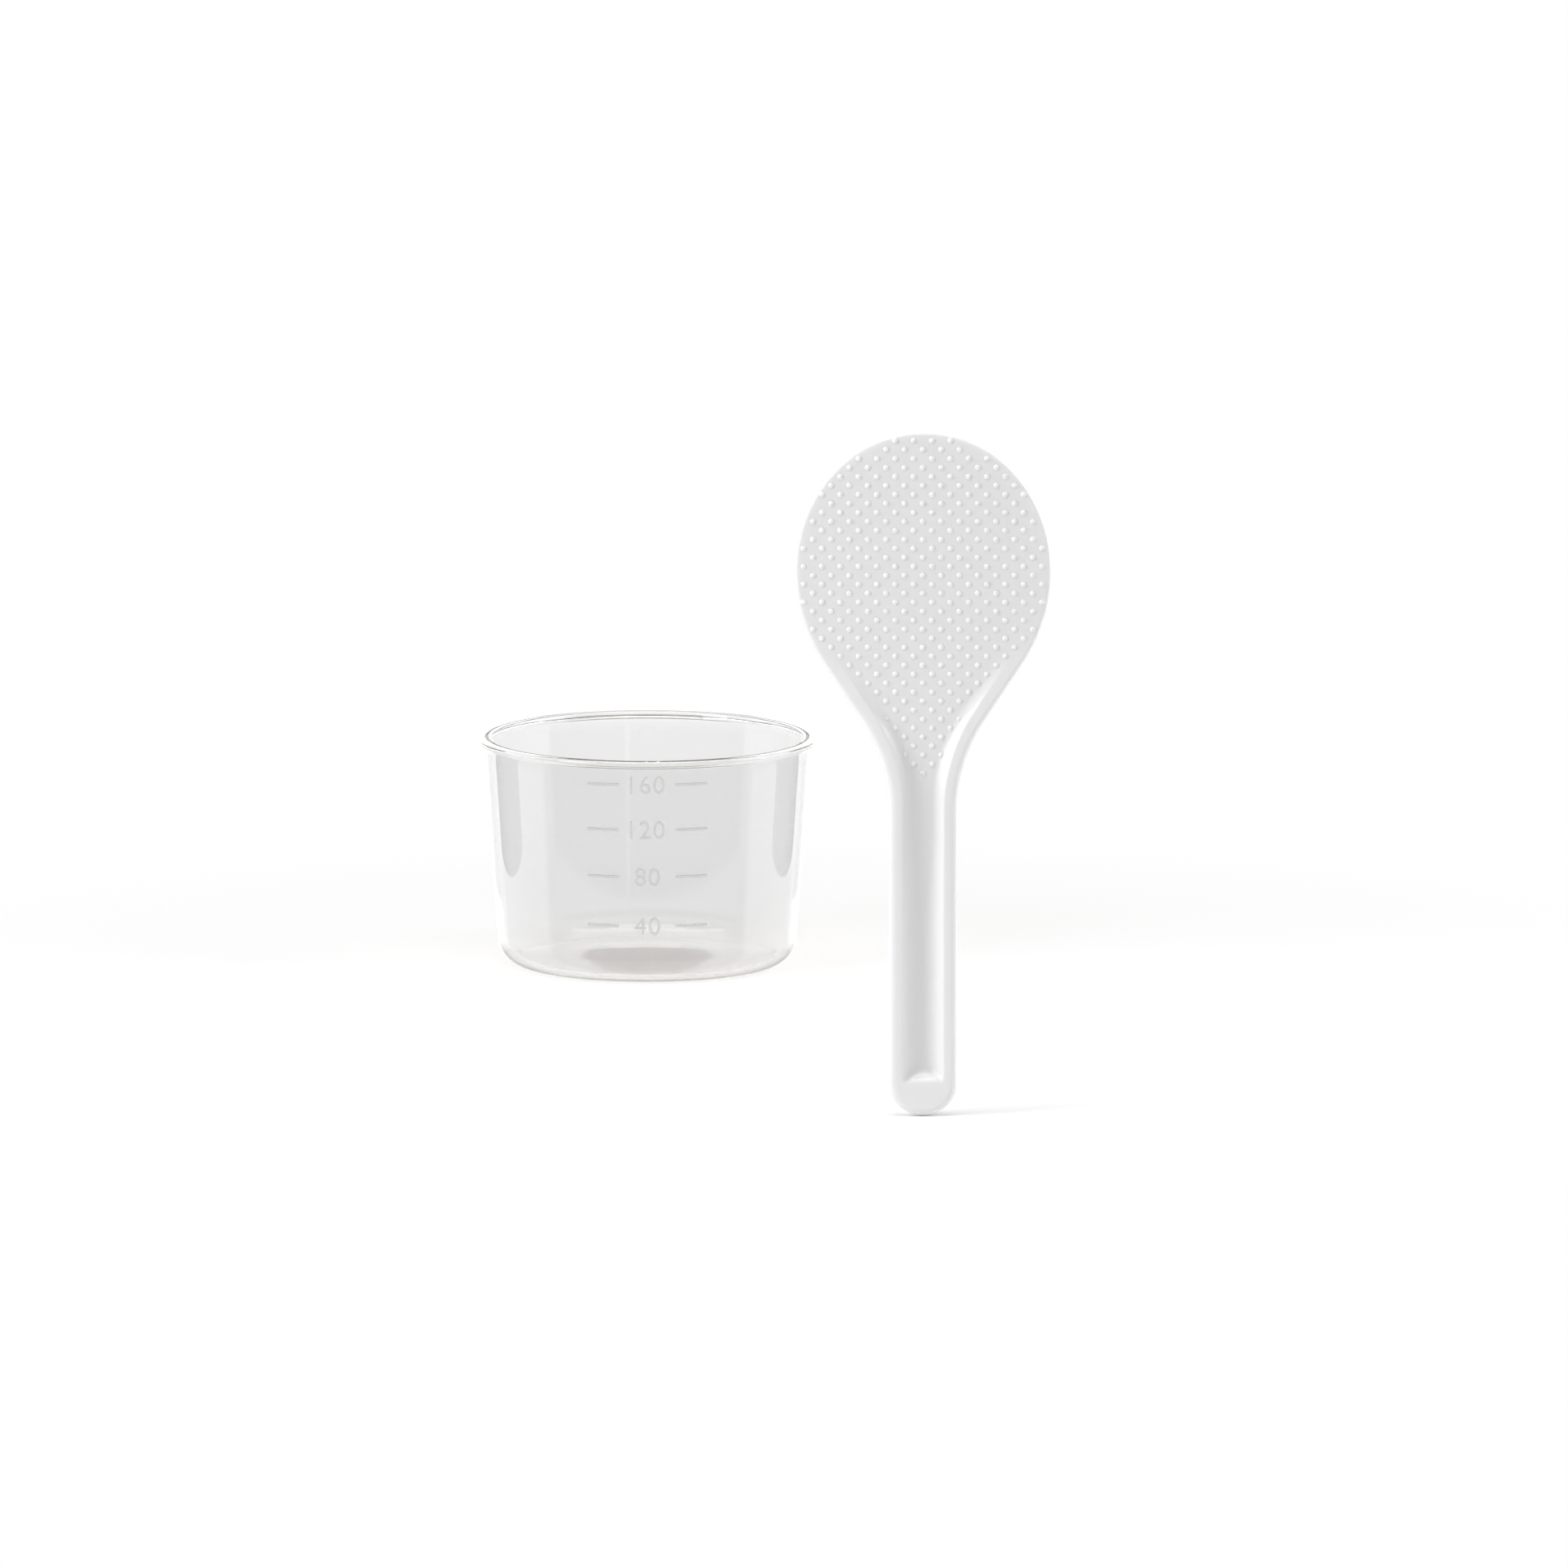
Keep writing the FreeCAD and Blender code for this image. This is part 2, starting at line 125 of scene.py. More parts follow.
class PaddleSettings(bpy.types.PropertyGroup):
    blade_width: length("Blade Width", "Greatest width of the blade", 58.2)
    crown: length("Crown Rise", "From the blade's widest place up to its top", 31.7)
    shoulder: length("Shoulder Radius", "Side of the blade below its widest place", 40.0)
    flank: angle("Flank Angle", "Lean of the straight flank from upright", 33.5)
    neck: length("Neck Radius", "Hollow round from the flank into the handle", 37.0)
    handle_width: length("Handle Width", "Width of the handle and of its round end", 15.5)
    rim_width: length("Rim Width", "Crest of the rim round the trough", 3.1)
    rim_height: length("Rim Height", "Crest of the rim above the trough's floor", 3.0)
    rim_slope: length("Rim Slope Width", "Inner side of the rim along the blade, seen from the front", 2.8)
    end_lip: length("End Lip", "Plain end of the handle below the trough", 8.0)
    end_steepness: level("End Steepness", "Slope of the trough's lower end, against that of its sides", 1.6)
    rim_fade: length("Rim Fade", "From the neck to where the rim has died away", 40.0)
    handle_edge: length("Handle Edge", "Thickness of the handle's edge", 3.2)
    blade_edge: length("Blade Edge", "Thickness of the blade's edge", 1.7)
    neck_thickness: length("Neck Thickness", "Thickness in the middle of the trough", 2.4)
    crown_thickness: length("Crown Thickness", "Thickness in the middle of the blade's top", 1.9)
    tilt: angle("Blade Tilt", "Lean of the blade forward from the handle", 3.0)
    bend: length("Bend Length", "Stretch below the neck where the handle bends and its trough narrows", 30.0)
    dot_pitch: length("Dot Pitch", "Side of the dots' square lattice", 2.94)
    dot_radius: length("Dot Radius", "Radius of a dot at the face", 0.75)
    dot_height: length("Dot Height", "Height of a dot above the face", 0.32)
    dot_border: length("Dot Border", "From the middle of a dot to the blade's edge", 1.15)
    dot_start: length("Dot Start", "From the neck to the lowest dot", 8.25)
    white: colour("White", "Colour of the plastic", "#efeeef")
    # The dots are the same plastic as the blade, given a whiter colour: a painted highlight that makes them
    # read brighter than the face.
    polished: colour("Polished White", "Colour of the polished dots", "#fbfbfb")


class StageSettings(bpy.types.PropertyGroup):
    elevation: angle("Camera Elevation", "How far the camera looks down", 9.0)
    frame_width: length("Frame Width", "What the square picture spans", 355.5)
    aim_right: length("Aim Right", "Middle of the picture, from the middle of the cup", 31.0)
    aim_forward: length("Aim Forward", "Depth at which the camera is aimed, in front of the cup", 110.0)
    aim_height: length("Aim Height", "Height at which the camera is aimed", 58.4)
    floor_size: length("Floor Size", "Side of the floor", 12000.0)
    floor_white: colour("Floor", "Colour of the floor", "#f4f4f4")
    floor_lift: level("Floor Lift", "Brightness added to the floor that is seen, up to white", 0.1)
    shade_near: length("Shade Near", "Up to this far from the set the floor shows its shade", 140.0)
    shade_far: length("Shade Far", "Past this far from the set the floor is plain white", 300.0)
    room: level("Room Light", "Light that comes from all sides", 0.48)
    key: level("Key Light", "Power of the softbox on the left, in watts", 2.6)
    fill: level("Fill Light", "Power of the softbox on the right, in watts", 1.4)
    top: level("Top Light", "Power of the softbox above, in watts", 5.0)
    flag: colour("Flag", "Colour of the dark flags that shape what the cup reflects", "#303030")
    card: colour("Card", "Colour of the card behind the cup that its floor mirrors", "#d0c7bf")


def add_node(tree, kind, links=None, **settings):
    """Adds a node to a tree, sets its options and input values, and links its inputs."""
    node = tree.nodes.new(kind)
    for name, value in settings.items():
        if hasattr(node, name):
            setattr(node, name, value)
        else:
            node.inputs[name.replace("_", " ")].default_value = value
    for socket, source in (links or {}).items():
        tree.links.new(source, node.inputs[socket])
    return node


def new_material(name):
    material = bpy.data.materials.new(name)
    material.use_nodes = True
    material.node_tree.nodes.clear()
    return material, material.node_tree


def clear_polypropylene(name, tint, roughness):
    """Clear moulded polypropylene: glassy edges and a faint grey body, with slow ripples from the mould.

    Light that is mirrored again and again inside an edge goes straight on at last, so the lip stays bright.
    """
    material, tree = new_material(name)
    place = add_node(tree, "ShaderNodeTexCoord")
    ripple_width = 9.0
    ripple_depth = 0.004
    most_mirrorings = 2.5
    ripple = add_node(tree, "ShaderNodeTexNoise", {"Vector": place.outputs["Object"]},
                      Scale=1 / (ripple_width * MM), Detail=1.0)
    bump = add_node(tree, "ShaderNodeBump", {"Height": ripple.outputs["Fac"]}, Strength=0.1,
                    Distance=ripple_depth * MM)
    haze = add_node(tree, "ShaderNodeMapRange", {"Value": ripple.outputs["Fac"]}, To_Min=0.6 * roughness,
                    To_Max=1.4 * roughness)
    plastic = add_node(tree, "ShaderNodeBsdfPrincipled",
                       {"Roughness": haze.outputs["Result"], "Normal": bump.outputs["Normal"]},
                       Base_Color=tint, Transmission_Weight=0.98, IOR=1.5)
    shadow = add_node(tree, "ShaderNodeBsdfTransparent", Color=linear("#f1efed"))
    edge_light = add_node(tree, "ShaderNodeBsdfTransparent", Color=linear("#e4e3e2"))
    path = add_node(tree, "ShaderNodeLightPath")
    caught = add_node(tree, "ShaderNodeMath", {0: path.outputs["Glossy Depth"]}, operation="GREATER_THAN")
    caught.inputs[1].default_value = most_mirrorings
    body = add_node(tree, "ShaderNodeMixShader",
                    {0: caught.outputs[0], 1: plastic.outputs["BSDF"], 2: edge_light.outputs["BSDF"]})
    mixed = add_node(tree, "ShaderNodeMixShader",
                     {0: path.outputs["Is Shadow Ray"], 1: body.outputs[0], 2: shadow.outputs["BSDF"]})
    add_node(tree, "ShaderNodeOutputMaterial", {"Surface": mixed.outputs["Shader"]})
    return material


def white_polypropylene(name, base, roughness, grain_depth):
    """White moulded polypropylene: a soft milky depth under a satin skin with a very fine moulded grain."""
    material, tree = new_material(name)
    place = add_node(tree, "ShaderNodeTexCoord")
    grain_width = 0.35
    cloud_width = 14.0
    grain = add_node(tree, "ShaderNodeTexNoise", {"Vector": place.outputs["Object"]},
                     Scale=1 / (grain_width * MM), Detail=2.0)
    cloud = add_node(tree, "ShaderNodeTexNoise", {"Vector": place.outputs["Object"]},
                     Scale=1 / (cloud_width * MM), Detail=2.0)
    bump = add_node(tree, "ShaderNodeBump", {"Height": grain.outputs["Fac"]}, Strength=0.2,
                    Distance=grain_depth * MM)
    shine = add_node(tree, "ShaderNodeMapRange", {"Value": cloud.outputs["Fac"]}, To_Min=roughness - 0.05,
                     To_Max=roughness + 0.05)
    plastic = add_node(tree, "ShaderNodeBsdfPrincipled",
                       {"Roughness": shine.outputs["Result"], "Normal": bump.outputs["Normal"]},
                       Base_Color=base, Subsurface_Weight=0.3, Subsurface_Radius=(1.0, 0.95, 0.9),
                       Subsurface_Scale=1.0 * MM, IOR=1.49)
    add_node(tree, "ShaderNodeOutputMaterial", {"Surface": plastic.outputs["BSDF"]})
    return material


def make_object(name, bm, material, smooth_angle=None):
    """Object at the origin from a finished bmesh, smooth but for edges over an angle if one is given."""
    mesh = bpy.data.meshes.new(name)
    bm.to_mesh(mesh)
    bm.free()
    mesh.shade_smooth()
    if smooth_angle is not None:
        mesh.set_sharp_from_angle(angle=smooth_angle)
    if material is not None:
        mesh.materials.append(material)
    piece = bpy.data.objects.new(name, mesh)
    bpy.context.scene.collection.objects.link(piece)
    return piece


def chain(bm, points):
    """Vertices through points in the XZ plane, joined by edges."""
    verts = [bm.verts.new((x, 0, z)) for x, z in points]
    for a, b in zip(verts, verts[1:]):
        bm.edges.new((a, b))
    return verts


def round_corner(bm, corner, radius, segments):
    """Rounds a corner of a chain of edges to a radius."""
    ends = [edge.other_vert(corner).co - corner.co for edge in corner.link_edges]
    reach = radius / math.tan(ends[0].angle(ends[1]) / 2)
    bmesh.ops.bevel(bm, geom=[corner], offset=reach, offset_type="OFFSET", segments=segments, profile=0.5,
                    affect="VERTICES", material=-1)


class CupShape:
    """Sizes of the cup that follow from its settings."""

    def __init__(self, settings):
        self.s = settings
        self.lean = math.tan(settings.draft)
        self.across = settings.wall / math.cos(settings.draft)

    def outer(self, z):
        return self.s.base_radius + z * self.lean

    def inner(self, z):
        """Inside radius at a height, with the round at the floor."""
        heel = self.s.heel - self.s.wall
        up = z - self.s.floor
        radius = self.outer(z) - self.across
        if up < heel:
            radius -= heel - math.sqrt(heel ** 2 - (heel - up) ** 2)
        return radius

    def level_of(self, volume):
        """Height at which the cup holds a volume in cubic metres."""
        slice_height = 0.02 * MM
        z = self.s.floor
        held = 0.0
        while held < volume:
            z += slice_height
            held += math.pi * self.inner(z - slice_height / 2) ** 2 * slice_height
        return z


def turned_cup(shape):
    """The cup without its scale: half its section, spun round the middle."""
    s = shape.s
    under_lip = s.height - s.lip_thickness
    rim = shape.outer(s.height) + s.lip_reach
    lip_round = 0.48 * s.lip_thickness
    wall_cuts = 24
    turn_steps = 256
    bm = bmesh.new()
    verts = chain(bm, [
        (0, 0),
        (shape.outer(0), 0),
        (shape.outer(under_lip), under_lip),
        (rim, under_lip),
        (rim, s.height),
        (shape.outer(s.height) - shape.across, s.height),
        (shape.outer(s.floor) - shape.across, s.floor),
        (0, s.floor),
    ])
    rounds = (s.heel, s.lip_root, lip_round, lip_round, s.mouth, s.heel - s.wall)
    segments = (14, 6, 6, 6, 6, 12)
    for corner, radius, count in zip(verts[1:-1], rounds, segments):
        round_corner(bm, corner, radius, count)
    straight = [edge for edge in bm.edges if edge.calc_length() > 0.5 * s.heel]
    bmesh.ops.subdivide_edges(bm, edges=straight, cuts=wall_cuts)
    bmesh.ops.spin(bm, geom=bm.verts[:] + bm.edges[:], cent=(0, 0, 0), axis=(0, 0, 1), angle=math.tau,
                   steps=turn_steps, use_merge=True)
    bmesh.ops.remove_doubles(bm, verts=bm.verts, dist=MERGE_DISTANCE)
    bmesh.ops.recalc_face_normals(bm, faces=bm.faces)
    return bm


def number_mesh(text, digit_height):
    """A number as a solid in the XZ plane, centred, facing -Y and one metre thick each way."""
    cap_share = 0.7
    font = bpy.data.curves.new("number", "FONT")
    font.body = text
    font.align_x = "CENTER"
    font.size = digit_height / cap_share
    font.space_character = 1.08
    font.extrude = 1.0
    font.resolution_u = 6
    holder = bpy.data.objects.new("number", font)
    bpy.context.scene.collection.objects.link(holder)
    depsgraph = bpy.context.evaluated_depsgraph_get()
    mesh = bpy.data.meshes.new_from_object(holder.evaluated_get(depsgraph))
    bpy.data.objects.remove(holder)
    bm = bmesh.new()
    bm.from_mesh(mesh)
    bpy.data.meshes.remove(mesh)
    bmesh.ops.remove_doubles(bm, verts=bm.verts, dist=MERGE_DISTANCE)
    xs = [v.co.x for v in bm.verts]
    ys = [v.co.y for v in bm.verts]
    middle = Vector(((min(xs) + max(xs)) / 2, (min(ys) + max(ys)) / 2, 0))
    bmesh.ops.translate(bm, verts=bm.verts, vec=-middle)
    bmesh.ops.rotate(bm, verts=bm.verts, cent=(0, 0, 0), matrix=Matrix.Rotation(math.pi / 2, 3, "X"))
    return bm


def line_mesh(length_x, width):
    """A line of the scale as a solid in the XZ plane, one metre thick each way, cut to follow the wall."""
    end_round = 0.3 * width
    cuts = 10
    bm = bmesh.new()
    bmesh.ops.create_cube(bm, size=2.0)
    upright = [e for e in bm.edges if abs(e.verts[0].co.y - e.verts[1].co.y) > 1]
    bmesh.ops.scale(bm, verts=bm.verts, vec=(length_x / 2, 1, width / 2))
    bmesh.ops.bevel(bm, geom=upright, offset=end_round, offset_type="OFFSET", segments=3, profile=0.5,
                    affect="EDGES", material=-1)
    for i in range(1, cuts):
        x = length_x * (i / cuts - 0.5)
        bmesh.ops.bisect_plane(bm, geom=bm.verts[:] + bm.edges[:] + bm.faces[:], plane_co=(x, 0, 0),
                               plane_no=(1, 0, 0))
    return bm


def raise_on_wall(bm, shape, x, z):
    """Puts a flat mark on the front of the cup, with its front proud of the wall and its back inside it."""
    root = 0.4 * shape.s.wall
    for v in bm.verts:
        v.co.x += x
        v.co.z += z
        radius = shape.outer(v.co.z) + (shape.s.relief if v.co.y < 0 else -root)
        v.co.y = -math.sqrt(radius ** 2 - v.co.x ** 2)


def cup_scale(shape):
    """Numbers and lines of the scale as solids that reach into the wall."""
    s = shape.s
    scale = bpy.data.meshes.new("scale")
    joined = bmesh.new()
    for millilitres in (40, 80, 120, 160):
        z = shape.level_of(millilitres * 1e-6)
        far = s.line_start + s.line_length / 2
        number = number_mesh(str(millilitres), s.digit_height)
        right, left = (line_mesh(s.line_length, s.line_width) for _ in range(2))
        for bm, x in ((number, 0), (right, far), (left, -far)):
            raise_on_wall(bm, shape, x, z)
            bmesh.ops.recalc_face_normals(bm, faces=bm.faces)
            bm.to_mesh(scale)
            bm.free()
            joined.from_mesh(scale)
    bpy.data.meshes.remove(scale)
    bmesh.ops.triangulate(joined, faces=joined.faces)
    return joined


class RICESET_OT_measuring_cup(bpy.types.Operator):
    """Turns the clear measuring cup and raises its scale on the front"""

    bl_idname = "riceset.measuring_cup"
    bl_label = "Measuring Cup"

    def execute(self, context):
        settings = context.scene.rice_cup
        shape = CupShape(settings)
        shell = make_object("cup_shell", turned_cup(shape), None)
        marks = make_object("cup_marks", cup_scale(shape), None)
        union = shell.modifiers.new("scale", "BOOLEAN")
        union.operation = "UNION"
        union.solver = "MANIFOLD"
        union.object = marks
        depsgraph = context.evaluated_depsgraph_get()
        bm = bmesh.new()
        bm.from_object(shell, depsgraph)
        bpy.data.objects.remove(shell)
        bpy.data.objects.remove(marks)
        if any(not edge.is_manifold for edge in bm.edges):
            raise RuntimeError("the cup and its scale don't make one closed mesh")
        below_lip = settings.height - settings.lip_thickness - settings.lip_root
        least_proud = 0.3 * settings.relief
        for face in bm.faces:
            middle = face.calc_center_median()
            proud = math.hypot(middle.x, middle.y) - shape.outer(middle.z)
            face.material_index = int(middle.z < below_lip and proud > least_proud)
        clear = clear_polypropylene("clear_polypropylene", settings.tint, roughness=0.035)
        # The scale's material is frosted, and its darker tint is painted shade.
        frosted_shaded = clear_polypropylene("frosted_shaded_polypropylene", settings.mark_tint, roughness=0.3)
        cup = make_object("clear_cup", bm, clear, math.radians(30))
        cup.data.materials.append(frosted_shaded)
        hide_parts("measuring_cup")
        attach(cup, "cup")
        return {"FINISHED"}


def ease(t):
    """Smooth step from 0 to 1."""
    t = min(max(t, 0.0), 1.0)
    return t * t * (3 - 2 * t)


class PaddleShape:
    """The paddle's outline and the depth of its two faces, with the end of its handle at the origin."""

    def __init__(self, settings, height):
        self.s = settings
        self.height = height
        self.blade_half = settings.blade_width / 2
        self.handle_half = settings.handle_width / 2
        self.crown_z = height - settings.crown
        lean = settings.flank
        self.flank_top_x = self.blade_half - settings.shoulder * (1 - math.cos(lean))
        self.flank_top_z = self.crown_z - settings.shoulder * math.sin(lean)
        self.flank_low_x = self.handle_half + settings.neck * (1 - math.cos(lean))
        self.flank_low_z = self.flank_top_z - (self.flank_top_x - self.flank_low_x) / math.tan(lean)
        self.neck_z = self.flank_low_z - settings.neck * math.sin(lean)

    def half_width(self, z):
        s = self.s
        if z < self.handle_half:
            return math.sqrt(max(self.handle_half ** 2 - (self.handle_half - z) ** 2, 0.0))
        if z <= self.neck_z:
            return self.handle_half
        if z <= self.flank_low_z:
            return self.handle_half + s.neck - math.sqrt(s.neck ** 2 - (z - self.neck_z) ** 2)
        if z <= self.flank_top_z:
            return self.flank_low_x + (z - self.flank_low_z) * math.tan(s.flank)
        if z <= self.crown_z:
            return self.blade_half - s.shoulder + math.sqrt(s.shoulder ** 2 - (self.crown_z - z) ** 2)
        return self.blade_half * math.sqrt(max(1 - ((z - self.crown_z) / s.crown) ** 2, 0.0))

    def edge_lean(self, z):
        """Lean of the outline from upright between the handle's end and the crown."""
        if z <= self.neck_z or z >= self.crown_z:
            return 0.0
        if z <= self.flank_low_z:
            return math.asin((z - self.neck_z) / self.s.neck)
        if z <= self.flank_top_z:
            return self.s.flank
        return math.asin((self.crown_z - z) / self.s.shoulder)

    def edge_distance(self, x, z):
        """How far a point of the face lies inside the outline."""
        if z < self.handle_half:
            return self.handle_half - math.hypot(x, self.handle_half - z)
        if z > self.crown_z:
            return math.hypot(x, z - self.crown_z) * (1 / self.share_out(x, z) - 1)
        return (self.half_width(z) - abs(x)) * math.cos(self.edge_lean(z))

    def share_out(self, x, z):
        """0 on the middle line, 1 at the outline."""
        if z < self.handle_half:
            return math.hypot(x, self.handle_half - z) / self.handle_half
        if z > self.crown_z:
            return math.hypot(x / self.blade_half, (z - self.crown_z) / self.s.crown)
        return abs(x) / self.half_width(z)

    def fade(self, z):
        """0 along the handle, 1 where the rim has died away."""
        return ease((z - self.neck_z) / self.s.rim_fade)

    def rim(self, z):
        return self.s.rim_height * (1 - self.fade(z))

    def rim_slope(self, z):
        """Width of the rim's inner side: to the middle of the handle, and narrower from the neck up."""
        hollow = self.handle_half - self.s.rim_width
        return hollow + (self.s.rim_slope - hollow) * ease((z - self.neck_z + self.s.bend) / self.s.bend)

    def edge_thickness(self, z):
        return self.s.handle_edge + (self.s.blade_edge - self.s.handle_edge) * self.fade(z)

    def face_y(self, z):
        """Front of the trough's floor, which bends forward below the neck, and of the flat blade."""
        slope = math.tan(self.s.tilt)
        past = z - (self.neck_z - self.s.bend)
        if past <= 0:
            return 0.0
        if past < self.s.bend:
            return -slope * past ** 2 / (2 * self.s.bend)
        return -slope * (past - self.s.bend / 2)

    def edge_round(self, x, z):
        """How far the half round edge falls away from the full thickness."""
        radius = self.edge_thickness(z) / 2
        inset = min(max(radius - self.edge_distance(x, z), 0.0), radius)
        return radius - math.sqrt(radius ** 2 - inset ** 2)

    def front_y(self, x, z):
        past_side = self.edge_distance(x, z) - self.s.rim_width
        past_end = self.s.end_steepness * (z - self.s.end_lip)
        inward = min(past_side, past_end) / self.rim_slope(z)
        crest = (1 - min(max(inward, 0.0), 1.0)) ** 2
        return self.face_y(z) - self.rim(z) * crest + self.edge_round(x, z)

    def back_y(self, x, z):
        up_blade = max(z - self.neck_z, 0.0) / (self.height - self.neck_z)
        thickness = self.s.neck_thickness + (self.s.crown_thickness - self.s.neck_thickness) * up_blade
        keel = thickness + self.rim(z) - self.edge_thickness(z)
        return self.face_y(z) + thickness - keel * self.share_out(x, z) ** 2 - self.edge_round(x, z)

    def dot_places(self):
        """Middles of the dots on the face, as (x, z)."""
        step = self.s.dot_pitch / math.sqrt(2)
        across = math.ceil(self.blade_half / step)
        places = []
        z = self.neck_z + self.s.dot_start
        offset = 0
        past_rim = self.s.rim_width + self.s.rim_slope
        while z < self.height:
            clear = self.s.dot_border + (past_rim - self.s.dot_border) * (1 - self.fade(z))
            for n in range(-across - across % 2 + offset, across + 1, 2):
                if self.edge_distance(n * step, z) >= clear:
                    places.append((n * step, z))
            z += step
            offset = 1 - offset
        return places


def arc_on(bm, end, centre_x, centre_z, turn, steps):
    """Carries an outline on from its end vertex along an arc in the XZ plane."""
    made = bmesh.ops.spin(bm, geom=[end], cent=(centre_x, 0, centre_z), axis=(0, 1, 0), angle=turn,
                          steps=steps)
    return made["geom_last"][0]


def straight_on(bm, end, x, z, steps):
    """Carries an outline on from its end vertex along a straight line."""
    stride = (Vector((x, 0, z)) - end.co) / steps
    for _ in range(steps):
        made = bmesh.ops.extrude_vert_indiv(bm, verts=[end])
        end = made["verts"][0]
        end.co += stride
    return end


def paddle_outline(bm, shape):
    """Edges of the paddle's outline: one side from the crown to the handle's end, and its mirror image."""
    s = shape.s
    crown_steps = 44
    shoulder_steps = 18
    flank_steps = 10
    neck_steps = 20
    handle_steps = 64
    end_steps = 18
    end = bm.verts.new((0, 0, shape.crown_z + shape.blade_half))
    end = arc_on(bm, end, 0, shape.crown_z, math.pi / 2, crown_steps)
    bmesh.ops.scale(bm, verts=bm.verts, vec=(1, 1, s.crown / shape.blade_half),
                    space=Matrix.Translation((0, 0, -shape.crown_z)))
    end = arc_on(bm, end, shape.blade_half - s.shoulder, shape.crown_z, s.flank, shoulder_steps)
    end = straight_on(bm, end, shape.flank_low_x, shape.flank_low_z, flank_steps)
    end = arc_on(bm, end, shape.handle_half + s.neck, shape.neck_z, -s.flank, neck_steps)
    end = straight_on(bm, end, shape.handle_half, shape.handle_half, handle_steps)
    arc_on(bm, end, 0, shape.handle_half, math.pi / 2, end_steps)
    bmesh.ops.mirror(bm, geom=bm.verts[:] + bm.edges[:], matrix=Matrix.Identity(4), merge_dist=-1, axis="X")
    bmesh.ops.remove_doubles(bm, verts=bm.verts, dist=MERGE_DISTANCE)
    return bm.edges[:]


def paddle_side(shape, depth):
    """One face of the paddle at its depth: rings that follow the outline, and rows across the middle."""
    edge_rings = [0.03, 0.12, 0.26, 0.46, 0.7, 0.98, 1.3, 1.6]
    rim_rings = [1.9, 2.7, 3.1, 3.3, 3.55, 3.85, 4.2, 4.55, 4.9, 5.25, 5.6, 5.9, 6.3, 6.8]
    row_cuts = 7
    bm = bmesh.new()
    face = bmesh.ops.contextual_create(bm, geom=paddle_outline(bm, shape))["faces"][0]
    reached = 0.0
    for ring in edge_rings + rim_rings:
        bmesh.ops.inset_region(bm, faces=[face], thickness=ring * MM - reached, use_even_offset=True,
                               use_boundary=True)
        reached = ring * MM
    right = sorted((v for v in face.verts if v.co.x > MERGE_DISTANCE), key=lambda v: -v.co.z)
    left = sorted((v for v in face.verts if v.co.x < -MERGE_DISTANCE), key=lambda v: -v.co.z)
    across = []
    for a, b in zip(left, right):
        across += bmesh.ops.connect_verts(bm, verts=[a, b])["edges"]
    bmesh.ops.subdivide_edges(bm, edges=across, cuts=row_cuts)
    for v in bm.verts:
        x, z = v.co.x, v.co.z
        v.co.y = (shape.front_y(x, z) + shape.back_y(x, z)) / 2 if v.is_boundary else depth(x, z)
    return bm


def paddle_body(shape):
    """The paddle without its dots, as one closed mesh with half round edges."""
    half = bpy.data.meshes.new("half")
    joined = bmesh.new()
    for depth in (shape.front_y, shape.back_y):
        bm = paddle_side(shape, depth)
        bm.to_mesh(half)
        bm.free()
        joined.from_mesh(half)
    bpy.data.meshes.remove(half)
    bmesh.ops.remove_doubles(joined, verts=joined.verts, dist=MERGE_DISTANCE)
    bmesh.ops.recalc_face_normals(joined, faces=joined.faces)
    return joined


def paddle_dots(shape):
    """Raised dots of the blade: one dome, repeated over the lattice."""
    s = shape.s
    sunk = 0.15 * MM
    ball = (s.dot_radius ** 2 + s.dot_height ** 2) / (2 * s.dot_height)
    bm = bmesh.new()
    bmesh.ops.create_uvsphere(bm, u_segments=12, v_segments=14, radius=ball)
    foot = (0, 0, ball - s.dot_height - sunk)
    cut = bmesh.ops.bisect_plane(bm, geom=bm.verts[:] + bm.edges[:] + bm.faces[:], dist=MERGE_DISTANCE,
                                 plane_co=foot, plane_no=(0, 0, 1), clear_inner=True)
    bmesh.ops.contextual_create(bm, geom=[e for e in cut["geom_cut"] if isinstance(e, bmesh.types.BMEdge)])
    bmesh.ops.translate(bm, verts=bm.verts, vec=(0, 0, s.dot_height - ball))
    facing = Matrix.Rotation(math.pi / 2 + s.tilt, 3, "X")
    bmesh.ops.rotate(bm, verts=bm.verts, cent=(0, 0, 0), matrix=facing)
    bmesh.ops.recalc_face_normals(bm, faces=bm.faces)
    dome = bm.verts[:] + bm.edges[:] + bm.faces[:]
    for x, z in shape.dot_places():
        copy = bmesh.ops.duplicate(bm, geom=dome)["geom"]
        verts = [item for item in copy if isinstance(item, bmesh.types.BMVert)]
        bmesh.ops.translate(bm, verts=verts, vec=(x, shape.face_y(z), z))
    pattern = [item for item in dome if isinstance(item, bmesh.types.BMVert)]
    bmesh.ops.delete(bm, geom=pattern, context="VERTS")
    return bm


